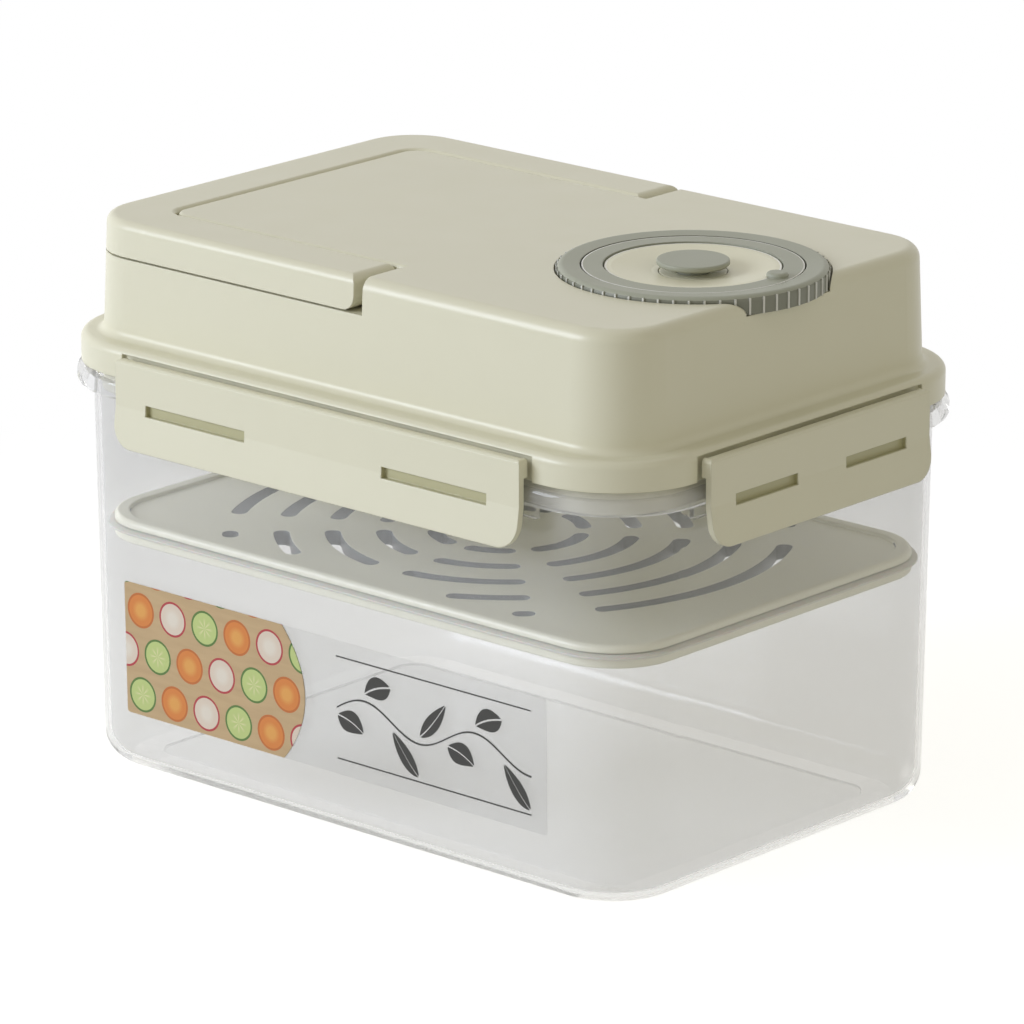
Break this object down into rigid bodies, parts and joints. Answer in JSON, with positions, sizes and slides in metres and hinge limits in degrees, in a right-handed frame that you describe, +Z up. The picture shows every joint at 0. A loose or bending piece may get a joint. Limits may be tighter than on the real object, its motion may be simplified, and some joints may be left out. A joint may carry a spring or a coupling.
{
  "type": "fermentation container",
  "caption": "Clear tapered box with a latched domed lid, a folding U-shaped handle, a date dial with a press-to-vent valve, and a slotted press plate that slides inside.",
  "frame": {"origin": "middle of the foot, on the surface that the box stands on", "axes": "+X along the long side towards the dial, -Y towards the labelled front, +Z up"},
  "size_m": [0.2468, 0.1768, 0.1753],
  "materials": {
    "clear_plastic": "clear glossy",
    "cream_plastic": "satin",
    "grey_plastic": "satin",
    "white_plastic": "satin",
    "clear_silicone": "soft clear",
    "white_silicone": "soft matte",
    "label_film": "printed film",
    "spring_steel": "bright wire"
  },
  "bodies": {
    "container": {"container_body": "clear_plastic", "front_label": "label_film"},
    "lid": {"lid_shell": "cream_plastic", "lid_gasket": "white_silicone", "dial_disc": "cream_plastic", "valve_housing": "cream_plastic", "valve_washer": "white_silicone", "valve_nut": "white_plastic", "valve_spring": "spring_steel"},
    "front_latch": {"front_latch": "cream_plastic"},
    "back_latch": {"back_latch": "cream_plastic"},
    "right_latch": {"right_latch": "cream_plastic"},
    "left_latch": {"left_latch": "cream_plastic"},
    "handle": {"carry_handle": "cream_plastic", "handle_pin_front": "cream_plastic", "handle_pin_back": "cream_plastic"},
    "outer_ring": {"dial_outer_ring": "grey_plastic"},
    "inner_ring": {"dial_inner_ring": "grey_plastic"},
    "valve": {"valve_button": "grey_plastic", "valve_seal": "white_silicone"},
    "press": {"press_plate": "cream_plastic", "press_plate_seal": "clear_silicone"}
  },
  "joints": [
    {"name": "lid_lift", "type": "slide", "parent": "container", "child": "lid", "axis": [0, 0, 1], "range_m": [0, 0.12]},
    {"name": "front_latch_hinge", "type": "hinge", "parent": "lid", "child": "front_latch", "pos_m": [0, -0.0843, 0.1321], "axis": [-1, 0, 0], "range_deg": [-3, 105]},
    {"name": "back_latch_hinge", "type": "hinge", "parent": "lid", "child": "back_latch", "pos_m": [0, 0.0843, 0.1321], "axis": [1, 0, 0], "range_deg": [-3, 105]},
    {"name": "right_latch_hinge", "type": "hinge", "parent": "lid", "child": "right_latch", "pos_m": [0.1193, 0, 0.1321], "axis": [0, -1, 0], "range_deg": [-3, 105]},
    {"name": "left_latch_hinge", "type": "hinge", "parent": "lid", "child": "left_latch", "pos_m": [-0.1193, 0, 0.1321], "axis": [0, 1, 0], "range_deg": [-3, 105]},
    {"name": "handle_hinge", "type": "hinge", "parent": "lid", "child": "handle", "pos_m": [-0.0001, 0, 0.1664], "axis": [0, 1, 0], "range_deg": [0, 90]},
    {"name": "outer_ring_turn", "type": "hinge", "parent": "lid", "child": "outer_ring", "pos_m": [0.072, 0, 0.169], "axis": [0, 0, 1], "continuous": true},
    {"name": "inner_ring_turn", "type": "hinge", "parent": "lid", "child": "inner_ring", "pos_m": [0.072, 0, 0.17], "axis": [0, 0, 1], "continuous": true},
    {"name": "valve_press", "type": "slide", "parent": "lid", "child": "valve", "axis": [0, 0, -1], "range_m": [0, 0.0016], "stiffness_N_per_m": 400, "springref_m": -0.002, "deforming": ["valve_spring"]},
    {"name": "plate_press", "type": "slide", "parent": "container", "child": "press", "axis": [0, 0, 1], "range_m": [-0.065, 0.041], "deforming": ["press_plate_seal"]}
  ]
}
